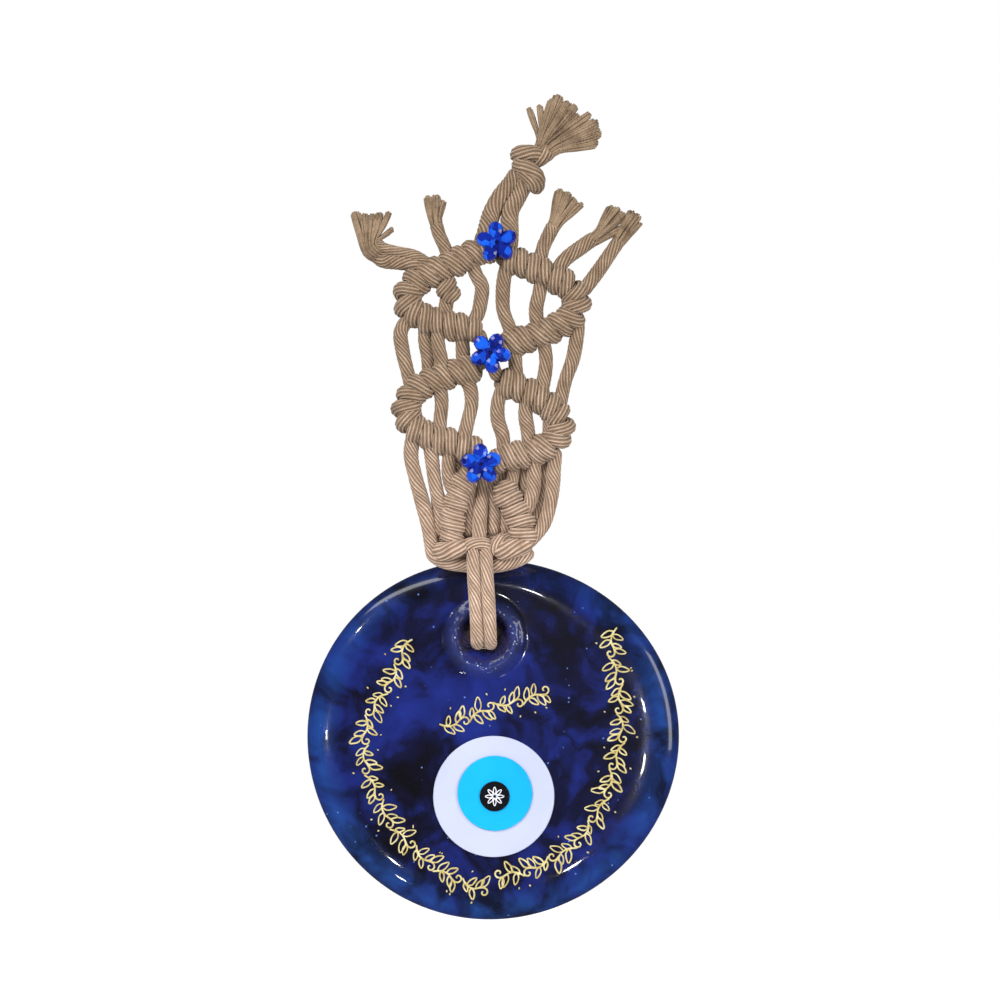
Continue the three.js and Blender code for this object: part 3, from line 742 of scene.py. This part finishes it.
FRAYED_ENDS = {
    "frayed_end_a": (
        [(-25, -25.5), (-29, -21.6), (-35, -20.4), (-40.6, -19.6), (-43.6, -16.6)], 2.5,
        [(-49.2, -4.6, 1.5, 28), (-46.4, -5.2, 1.3, 26), (-43.7, -5.3, 1.3, 24), (-41.2, -4.9, 1.2, 22),
         (-38.2, -4.6, 0.9, 14), (-36.9, -9.6, 0.7, 9)], 3.0,
    ),
    "frayed_end_b": (
        [(-19, -21), (-20.4, -16), (-22.4, -11.4), (-23.4, -7.5)], 2.2,
        [(-26.0, 0.3, 1.5, 28), (-23.4, 0.9, 1.5, 30), (-21.0, -1.0, 1.2, 20)], 2.0,
    ),
    "frayed_end_c": (
        [(9.5, -22.8), (10.8, -16), (12.8, -11.5), (14.6, -8)], 2.3,
        [(16.4, 2.6, 1.6, 34), (18.9, 1.6, 1.5, 32), (20.9, -0.2, 1.4, 26), (23.2, -1.8, 1.1, 18)], 2.1,
    ),
    "frayed_end_d": (
        [(13.5, -25.2), (18, -19.5), (23.4, -15.4), (28.2, -12)], 2.4,
        [(32.9, -2.8, 1.5, 32), (35.0, -3.4, 1.4, 30), (36.6, -5.0, 1.4, 28), (38.6, -8.4, 1.0, 18)], 2.2,
    ),
    "frayed_end_e": (
        [(23, -30.5), (28.2, -23.6), (32.6, -17.2), (35.6, -12.8)], 2.3,
        [(39.2, -4.2, 1.3, 28), (41.3, -5.4, 1.3, 28), (42.0, -8.0, 0.9, 16)], 2.1,
    ),
}
for name, (stations, radius, bundles, base_radius) in FRAYED_ENDS.items():
    cord(name + "_stem", net(stations), radius * MM, "net_panel", [name])
    before, last = net(stations[-2:])
    brush(name + "_brush", last / MM, last - before, bundles, "net_panel", base_radius, random.Random(name))
SECOND_STEM = [(-24, -22.5), (-30, -18.6, 0.6), (-36, -17.2, 0.6), (-40.6, -15.8), (-43, -13.4)]
cord("frayed_end_a_second_stem", net(SECOND_STEM), 2.0 * MM, "net_panel")

NECK_RIGHT = [(7, 0, 11.6), (10.6, -0.8, 13.8), (14.2, -0.8, 16.6)]
NECK_UP = [(8, 0.8, 13), (10, 0.8, 16), (11.2, 0.6, 19)]
cord("tassel_neck_right", place(NECK_RIGHT), 2.6 * MM, "top_cord")
cord("tassel_neck_up", place(NECK_UP), 2.5 * MM, "top_cord")
TASSEL_RIGHT = [(26.0, 27.7, 1.0, 22), (28.3, 24.8, 1.8, 40), (29.2, 21.8, 1.9, 46), (28.3, 18.5, 1.7, 38)]
TASSEL_UP = [(13.9, 32.4, 1.4, 30), (16.0, 33.7, 1.8, 44), (18.8, 31.5, 1.6, 34), (21.3, 30.6, 1.5, 36),
             (22.4, 27.4, 1.2, 20)]
TUFT = [(6.4, 29.8, 0.7, 9), (9.8, 30.6, 0.9, 12)]
tassel = brush("tassel_brush_right", NECK_RIGHT[-1], (0.78, 0, 0.62), TASSEL_RIGHT, "top_cord", 2.6,
               random.Random("tassel"))
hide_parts("tassel")
brush("tassel_brush_up", NECK_UP[-1], (0.35, 0, 0.95), TASSEL_UP, "top_cord", 2.5, random.Random("up"))
brush("tassel_tuft", (10.2, 0.6, 20), (-0.1, 0, 1), TUFT, "top_cord", 1.1, random.Random("tuft"))
print("made", len(FRAYED_ENDS) + 1, "frayed ends")

# %% [markdown]
# ## The glass disc
# The disc is poured glass with a melted, rounded rim, a funnel-shaped hole and a thick ring round the hole.
# All of it is a turned shape except the outline, which is a little out of round and not centred on the hole.
# So the profile is spun round the hole, and the outer points are then carried out to the real outline: points
# near the hole stay, and points further out slide in proportion.

# %% Glass disc shape
DISC_X, DISC_Z, DISC_Y = -5.4, -172.5, 3.2
HALF_GLASS = 5.5
DISC_FRONT, DISC_BACK = DISC_Y - HALF_GLASS, DISC_Y + HALF_GLASS
RIM = 14.0  # width of the soft shoulder on the front, away from the hole
BACK_ROUNDING = 5.4
COLLAR_EDGE, SPUN_RADIUS = 15.0, 60.0
COLLAR = [(4.1, 3.5), (4.15, 1.6), (4.7, 0.0), (5.8, -1.5), (7.2, -2.9), (8.3, -3.8), (9.3, -4.25),
          (10.1, -4.2), (10.9, -3.8), (11.8, -3.1), (12.8, -2.6), (13.8, -2.36)]
HOLE_BACK = [(7.4, DISC_BACK), (6.1, DISC_BACK - 0.4), (5.0, DISC_BACK - 1.2), (4.4, DISC_BACK - 2.6)]
FACE_STEPS, BACK_STEPS, SPIN_STEPS = 18, 10, 224


def outline_radius(angle):
    wave = 0.95 * math.cos(2 * angle) + 0.3 * math.cos(3 * angle) + 0.25 * math.sin(3 * angle)
    return 59.0 + wave - 0.8 * math.sin(angle)


def shoulder_width(angle):
    """The shoulder is narrower at the top, where the collar leaves less room for it."""
    return RIM - 5.5 * max(0.0, math.sin(angle)) ** 6


def disc_profile():
    """Radius and depth pairs in mm, once round the glass from the hole's wall over the front to the back."""
    profile = list(COLLAR)
    flat = SPUN_RADIUS - RIM - COLLAR_EDGE
    profile += [(COLLAR_EDGE + flat * i / FACE_STEPS, DISC_FRONT) for i in range(FACE_STEPS)]
    for i in range(FACE_STEPS + 1):
        angle = math.pi / 2 * i / FACE_STEPS
        profile.append((SPUN_RADIUS - RIM + RIM * math.sin(angle), DISC_Y - HALF_GLASS * math.cos(angle)))
    back_edge = SPUN_RADIUS - BACK_ROUNDING
    for i in range(1, BACK_STEPS + 1):
        angle = math.pi / 2 * i / BACK_STEPS
        profile.append((back_edge + BACK_ROUNDING * math.cos(angle), DISC_Y + HALF_GLASS * math.sin(angle)))
    back_flat = back_edge - COLLAR_EDGE
    profile += [(back_edge - back_flat * i / FACE_STEPS, DISC_BACK) for i in range(1, FACE_STEPS + 1)]
    return profile + HOLE_BACK


def face_depth(x, z):
    """Depth in mm of the front of the glass at (x, z)."""
    away, angle = math.hypot(x - DISC_X, z - DISC_Z), math.atan2(z - DISC_Z, x - DISC_X)
    into = min(1.0, max(0.0, 1 - (outline_radius(angle) - away) / shoulder_width(angle)))
    return DISC_Y - HALF_GLASS * math.sqrt(1 - into * into)


def carry_to_outline(vert):
    x, z = vert.co.x / MM - HOLE_X, vert.co.z / MM - HOLE_Z
    radius = math.hypot(x, z)
    if radius <= COLLAR_EDGE:
        return
    angle = math.atan2(z, x)
    ray = Vector((math.cos(angle), math.sin(angle)))
    collar = Vector((HOLE_X, HOLE_Z)) + ray * COLLAR_EDGE
    inner_rim = Vector((DISC_X, DISC_Z)) + ray * (outline_radius(angle) - shoulder_width(angle))
    flat = SPUN_RADIUS - RIM - COLLAR_EDGE
    share = min(1.0, (radius - COLLAR_EDGE) / flat)
    into_shoulder = max(0.0, radius - COLLAR_EDGE - flat) / RIM
    spot = collar.lerp(inner_rim, share) + ray * into_shoulder * shoulder_width(angle)
    vert.co.x, vert.co.z = spot.x * MM, spot.y * MM


def glass_shape():
    build = bmesh.new()
    ring = [build.verts.new(((HOLE_X + r) * MM, y * MM, HOLE_Z * MM)) for r, y in disc_profile()]
    edges = [build.edges.new(pair) for pair in zip(ring, ring[1:] + ring[:1])]
    bmesh.ops.spin(build, geom=ring + edges, cent=(HOLE_X * MM, 0, HOLE_Z * MM), axis=(0, 1, 0),
                   angle=2 * math.pi, steps=SPIN_STEPS, use_merge=True)
    bmesh.ops.remove_doubles(build, verts=build.verts, dist=MERGE_DISTANCE)
    for vert in build.verts:
        carry_to_outline(vert)
    bmesh.ops.recalc_face_normals(build, faces=build.faces)
    for face in build.faces:
        face.smooth = True
    return build


glass = mesh_piece("glass_disc_poured", glass_shape())
print("glass disc:", len(glass.data.polygons), "faces")

# %% [markdown]
# ## Cobalt glass: the finish
# The colour was never stirred in evenly: near-black clouds and veins drift through the blue. Towards the rim
# the blue is painted brighter, less at the top, as painted light where the thin glass would let light through.
# A few tiny bubbles sit under the surface, and a ring of pits shows where the glass was pierced; the collar
# round it is painted lighter as painted light, and its crest is dotted with painted glints. The glass is deep
# enough to pass no light, so the clouds are painted on the shader and a clear coat gives the polish.

# %% Cobalt glass finish
def glass_finish():
    glass = Finish("cobalt_glass", Roughness=0.2, Specular_IOR_Level=0.3, Coat_Weight=1.0,
                   Coat_Roughness=0.03)
    place = glass.place()

    def distance_from(x, z):
        """How far a point of the face lies from (x, z) mm, in tenths of a metre."""
        moved = glass.vector("SUBTRACT", s0=place, s1=(x * MM, 0, z * MM)).outputs[0]
        flat = glass.vector("MULTIPLY", s0=moved, s1=(1, 0, 1)).outputs[0]
        return glass.times(glass.vector("LENGTH", s0=flat).outputs["Value"], 10)

    warp = glass.noise(place, 22.0, 3.0, "Color")
    bent = glass.vector("MULTIPLY_ADD", s0=warp, s1=(0.045,) * 3, s2=place).outputs[0]
    clouds = glass.noise(bent, 30.0, 5.0, Roughness=0.6)
    wisps = glass.noise(bent, 95.0, 4.0, Roughness=0.55)
    depth = glass.plus(glass.times(clouds, 0.62), glass.times(wisps, 0.38))
    blue = glass.ramp(depth, [(0.37, "06060f"), (0.46, "0c0e30"), (0.54, "141f62"), (0.7, "1a2b80")])
    off_middle = glass.maths("SUBTRACT", glass.noise(bent, 19.0, 4.0, Roughness=0.55), 0.5)
    veins = glass.ramp(glass.maths("ABSOLUTE", off_middle), [(0.0, 0.8), (0.02, 0.4), (0.045, 0.0)])
    blue = glass.mix(veins, blue, linear("07060f"))
    height_up = glass.node("SeparateXYZ", s0=place).outputs["Z"]
    # painted light: the blue is painted brighter towards the rim, less at the top
    painted_rim_light = glass.ramp(distance_from(DISC_X, DISC_Z), [(0.485, 0.0), (0.555, 0.8), (0.585, 0.5)])
    painted_rim_light = glass.times(painted_rim_light, glass.carry(height_up, -0.12, -0.155, 0.25, 1.0))
    rim_light_in_wisps = glass.times(painted_rim_light, glass.ramp(wisps, [(0.35, 0.1), (0.65, 1.0)]))
    colour = glass.mix(rim_light_in_wisps, blue, linear("1a4389"))
    from_hole = distance_from(HOLE_X, HOLE_Z)
    # painted light: the collar round the hole is painted lighter, as if catching the light
    ring = glass.ramp(from_hole, [(0.07, 0.0), (0.1, 0.3), (0.135, 0.0)])
    colour = glass.mix(ring, colour, linear("47559c"))
    cells = glass.node("TexVoronoi", s0=place, Scale=330.0).outputs["Distance"]
    few = glass.ramp(glass.noise(place, 120.0, 1.0), [(0.56, 0.0), (0.62, 1.0)])
    bubbles = glass.times(glass.ramp(cells, [(0.06, 1.0), (0.11, 0.0)]), few)
    colour = glass.mix(bubbles, colour, linear("5f7fc4"))
    # painted glints: small near-white dots on the crest of the collar
    glint_specks = glass.node("TexVoronoi", s0=place, Scale=620.0).outputs["Distance"]
    painted_glint_ring = glass.ramp(from_hole, [(0.084, 0.0), (0.093, 0.85), (0.1, 0.5), (0.112, 0.0)])
    painted_glints = glass.times(glass.ramp(glint_specks, [(0.12, 1.0), (0.2, 0.0)]), painted_glint_ring)
    glass.link(glass.mix(painted_glints, colour, linear("c3cff0")), "Base Color")
    pit_ring = glass.ramp(from_hole, [(0.07, 0.4), (0.095, 1.0), (0.135, 0.0)])
    pits = glass.times(glass.noise(place, 700.0, 1.0), pit_ring)
    smooth = glass.bump(glass.noise(place, 38.0, 2.0), 0.1, 1.2 * MM)
    surface = glass.bump(pits, 0.9, 0.35 * MM, smooth)
    glass.link(surface, "Normal")
    glass.link(surface, "Coat Normal")
    return glass.material


dress(glass, glass_finish(), "disc", ["glass_disc"])
print("made the cobalt glass")

# %% [markdown]
# ## The eye
# Three thin discs of enamel, one on the other, each with a soft edge where the enamel drew in as it set. They
# are laid by hand, so the blue one sits a little high on the white one.

# %% Eye
PUPIL_X, PUPIL_Z = -4.6, -191.0
WHITE_FACE, BLUE_FACE, PUPIL_FACE = DISC_FRONT - 0.9, DISC_FRONT - 1.5, DISC_FRONT - 2.0
ENAMEL_SIDES = 128


def enamel_disc(name, x, z, radius, base_y, top_y, edge):
    build = bmesh.new()
    bmesh.ops.create_cone(build, cap_ends=True, segments=ENAMEL_SIDES, radius1=radius * MM,
                          radius2=radius * MM, depth=(base_y - top_y) * MM)
    bmesh.ops.rotate(build, verts=build.verts, cent=(0, 0, 0), matrix=Matrix.Rotation(math.pi / 2, 3, "X"))
    bmesh.ops.translate(build, verts=build.verts, vec=Vector((x, (base_y + top_y) / 2, z)) * MM)
    front = [e for e in build.edges if all(v.co.y < (base_y + top_y) / 2 * MM for v in e.verts)]
    bmesh.ops.bevel(build, geom=front, offset=edge * MM, segments=5, profile=0.5, affect="EDGES",
                    material=-1)
    bmesh.ops.recalc_face_normals(build, faces=build.faces)
    for face in build.faces:
        face.smooth = len(face.verts) == 4
    return mesh_piece(name, build)


def enamel_finish(name, main, shade, roughness):
    enamel = Finish(name, Roughness=roughness, Coat_Weight=0.6, Coat_Roughness=0.05)
    place = enamel.place()
    drift = enamel.noise(place, 55.0, 3.0)
    enamel.link(enamel.ramp(drift, [(0.3, shade), (0.6, main)]), "Base Color")
    enamel.link(enamel.bump(enamel.noise(place, 900.0, 2.0), 0.05, 0.2 * MM), "Normal")
    return enamel.material


# name, slot, middle, radius, depth of the base and the top, soft edge, main colour and shade
EYE_LAYERS = [
    ("eye_white", "white_enamel", -4.9, -191.2, 19.4, DISC_FRONT - 0.02, WHITE_FACE, 0.35, "bbc1da", "b5bbd5"),
    ("eye_blue", "cyan_enamel", -4.5, -190.1, 12.0, WHITE_FACE, BLUE_FACE, 0.25, "0aaae8", "08a2e0"),
    ("eye_pupil", "black_enamel", PUPIL_X, PUPIL_Z, 4.8, BLUE_FACE, PUPIL_FACE, 0.2, "0b0b12", "07070c"),
]
for name, slot, x, z, radius, base_y, top_y, edge, main, shade in EYE_LAYERS:
    layer = enamel_disc(name + "_enamel", x, z, radius, base_y, top_y, edge)
    dress(layer, enamel_finish(slot, main, shade, 0.22), "disc", [name])
print("made", len(EYE_LAYERS), "layers of the eye")

# %% [markdown]
# ## Gold ornament
# The ornament is drawn on the cold glass with a paint pen, so every stroke is a thin raised bead of gold
# paint. Leafy sprigs follow three bands, one above the eye and one down each side. Each sprig is a bent stem
# that ends in a curl, with leaves on both sides and a berry or two. A stroke is placed by how far it lies
# along its band and how far across, and it follows the soft shoulder of the glass.

# %% Gold strokes
BEAD_SECTION = yarn_section("bead_section", 1, 0.0, 6)
BANDS = {
    "vine_above_eye": [(-21.5, -169.5), (-12, -165.5), (-4, -162.4), (5, -160.2), (13, -157.4)],
    "vine_left": [(-32.5, -140.5), (-36.5, -152), (-43.5, -163), (-46.6, -174), (-43.5, -188), (-36.5, -201.5),
                  (-25.5, -212.5), (-14, -219.5), (-6.5, -221.5)],
    "vine_right": [(33, -137.5), (33.5, -148), (35.5, -159), (35.8, -172), (32.5, -186), (27, -199),
                   (18.5, -208.5), (7, -214.5), (-4.5, -217)],
}


SPRIG_PITCH, BAND_STEP, BEAD_STEP = 9.6, 0.5, 0.45
STEM_RADIUS, BERRY_RADIUS, ROSETTE_RADIUS = 0.31, 0.5, 0.16
ROSETTE_PETALS = 8
ROSETTE_OUTLINE = ((0.5, 0), (1.7, 0.28), (3.1, 0), (1.7, -0.28), (0.5, 0))  # reach in mm and lean


def leaf(x, y, angle, length):
    """The outline of a pointed leaf that grows from (x, y)."""
    shape = [(0, 0), (0.35, 0.2), (0.75, 0.14), (1, 0), (0.7, -0.16), (0.3, -0.17), (0, 0)]
    c, s = math.cos(angle), math.sin(angle)
    return [(x + length * (a * c - b * s), y + length * (a * s + b * c)) for a, b in shape]


def sprig(rng, way):
    """Strokes of one sprig round its own middle, each with the bead's radius in mm."""
    stem = [(-4.8, -1.6), (-2.6, 0.1), (-0.2, 0.4), (2.0, -0.4)]
    stem += [(3.2 + 1.5 * (1 - k / 12) * math.sin(k * 0.62), 0.9 - 1.5 * (1 - k / 12) * math.cos(k * 0.62))
             for k in range(10)]
    strokes = [(stem, STEM_RADIUS)]
    for x, y, side in ((-3.6, -0.7, 1), (-2.6, 0.1, -1), (-0.9, 0.35, 1), (0.4, 0.2, -1), (2.2, -0.5, -1)):
        angle = side * rng.uniform(0.85, 1.25)
        strokes.append((leaf(x, y, angle, rng.uniform(3.2, 4.8)), rng.uniform(0.23, 0.3)))
    for _ in range(rng.choice((1, 2))):
        x, y = rng.uniform(-3, 4), rng.choice((-1, 1)) * rng.uniform(4.6, 5.2)
        strokes.append(([(x, y), (x + 0.4, y + 0.2)], BERRY_RADIUS))
    return [([(x, way * y) for x, y in points], radius) for points, radius in strokes]


def band_strokes(name, stations):
    """All strokes of one band, each a list of (x, z) in mm with the bead's radius."""
    rng = random.Random(name)
    line = smooth_path([Vector((x, 0, z)) for x, z in stations], BAND_STEP)
    count = round(path_length(line) / SPRIG_PITCH)
    strokes = []
    for i in range(count):
        for points, radius in sprig(rng, -1 if i % 2 else 1):
            carried = []
            for a, b in points:
                at = (i + 0.5) / count * (len(line) - 1) + a / BAND_STEP
                near = max(0, min(len(line) - 2, int(at)))
                along = (line[near + 1] - line[near]).normalized()
                across = Vector((along.z, 0, -along.x))
                spot = line[near] + along * (at - near) * BAND_STEP + across * b
                carried.append((spot.x, spot.z))
            strokes.append((carried, radius))
    return strokes


def gold_finish():
    gold = Finish("gold_paint", Roughness=0.42, Metallic=0.25)
    flow = gold.noise(gold.place(), 500.0, 2.0)
    gold.link(gold.ramp(flow, [(0.3, "c2ad6a"), (0.5, "ddcd8d"), (0.7, "efe4b4")]), "Base Color")
    gold.link(gold.bump(flow, 0.3, 0.1 * MM), "Normal")
    return gold.material


def painted(name, strokes, depth_at, finish):
    data = curve_data(name, BEAD_SECTION)
    longest = 0.0
    for points, radius in strokes:
        path = smooth_path([Vector((x, depth_at(x, z), z)) * MM for x, z in points], BEAD_STEP * MM)
        add_spline(data, path, radius * MM, YARN_LAY)
        longest = max(longest, path_length(path))
    dress(meshed(name, data, longest), finish, "disc")


def rosette():
    strokes = []
    for i in range(ROSETTE_PETALS):
        turn = 2 * math.pi * i / ROSETTE_PETALS
        outline = [(PUPIL_X + reach * math.cos(turn + lean), PUPIL_Z + reach * math.sin(turn + lean))
                   for reach, lean in ROSETTE_OUTLINE]
        strokes.append((outline, ROSETTE_RADIUS))
    return strokes


GOLD = gold_finish()
for name, stations in BANDS.items():
    painted(name, band_strokes(name, stations), face_depth, GOLD)
ROSETTE_WHITE = enamel_finish("rosette_white", "f0f2fa", "dfe2ee", 0.3)
painted("pupil_rosette", rosette(), lambda x, z: PUPIL_FACE, ROSETTE_WHITE)
print("painted", len(BANDS), "bands and a rosette")

# %% [markdown]
# ## The acrylic flowers
# Each flower is a cheap moulded gem: five oval petals with cut facets round a small blind hollow. A petal is
# an oval pulled up to a smaller flat table, so that the facets between catch the light one by one.

# %% Flowers
FLOWERS = {
    "flower_top": (-3.9, -14.6, 95),
    "flower_middle": (-6.0, -49.6, -10),
    "flower_lower": (-8.9, -85.0, 93),
}
FLOWER_BACK = NET_Y - 4.5
PETALS, PETAL_SIDES, HEART_SIDES = 5, 10, 15
PETAL_LONG, PETAL_WIDE, PETAL_OUT = 2.85, 2.45, 3.85
PETAL_PROFILE = ((0.92, 0.0), (1.0, -0.6), (0.8, -1.5), (0.42, -2.0))  # share of the oval and rise
HEART_PROFILE = ((2.6, 0), (2.6, -0.9), (2.1, -1.35), (0.7, -1.35), (0.6, -0.3))  # radius and rise, in mm


def ringed(build, profile, sides, long, wide):
    """A closed shape of facets between rings, each scaled and raised as the profile says."""
    rings = []
    for scale, rise in profile:
        ring = bmesh.ops.create_circle(build, cap_ends=False, segments=sides, radius=1.0)["verts"]
        for vert in ring:
            vert.co = Vector((vert.co.x * long * scale, rise, vert.co.y * wide * scale))
        rings.append(ring)
    for low, high in zip(rings, rings[1:]):
        for i in range(sides):
            j = (i + 1) % sides
            build.faces.new((low[i], low[j], high[j], high[i]))
    build.faces.new(rings[-1])
    build.faces.new(list(reversed(rings[0])))
    return sum(rings, [])


def flower(name, x, z, degrees):
    build = bmesh.new()
    centre = Vector((x, FLOWER_BACK, z))
    for i in range(PETALS):
        turn = Matrix.Rotation(-math.radians(degrees + 360 / PETALS * i), 3, "Y")
        for vert in ringed(build, PETAL_PROFILE, PETAL_SIDES, PETAL_LONG, PETAL_WIDE):
            vert.co = (turn @ (vert.co + Vector((PETAL_OUT, 0, 0))) + centre) * MM
    for vert in ringed(build, HEART_PROFILE, HEART_SIDES, 1.0, 1.0):
        vert.co = (vert.co + centre) * MM
    bmesh.ops.recalc_face_normals(build, faces=build.faces)
    return mesh_piece(name + "_gem", build)


def acrylic_finish():
    acrylic = Finish("blue_acrylic", Roughness=0.08, IOR=1.49, Coat_Weight=0.8, Coat_Roughness=0.03)
    cells = acrylic.node("TexVoronoi", s0=acrylic.place(), Scale=420.0).outputs["Color"]
    # painted reflection: random cells of lighter blue stand in for light caught inside the acrylic
    painted_inner_reflection = acrylic.node("SeparateColor", s0=cells).outputs[0]
    acrylic.link(acrylic.ramp(painted_inner_reflection, [(0.1, "071566"), (0.5, "0d2a9c"), (0.95, "155ddc")]), "Base Color")
    return acrylic.material


ACRYLIC = acrylic_finish()
for name, (x, z, degrees) in FLOWERS.items():
    dress(flower(name, x, z, degrees), ACRYLIC, "net_panel", [name])
print("made", len(FLOWERS), "flowers")

# %% [markdown]
# ## Removing the tools
# The section curves were only tools, so they go. The skin has to stay inside the solids' box apart from the
# small amount that fabric may stand proud.

# %% Finish
for tool in (CORD_SECTION, YARN_SECTION, BEAD_SECTION):
    bpy.data.objects.remove(tool)
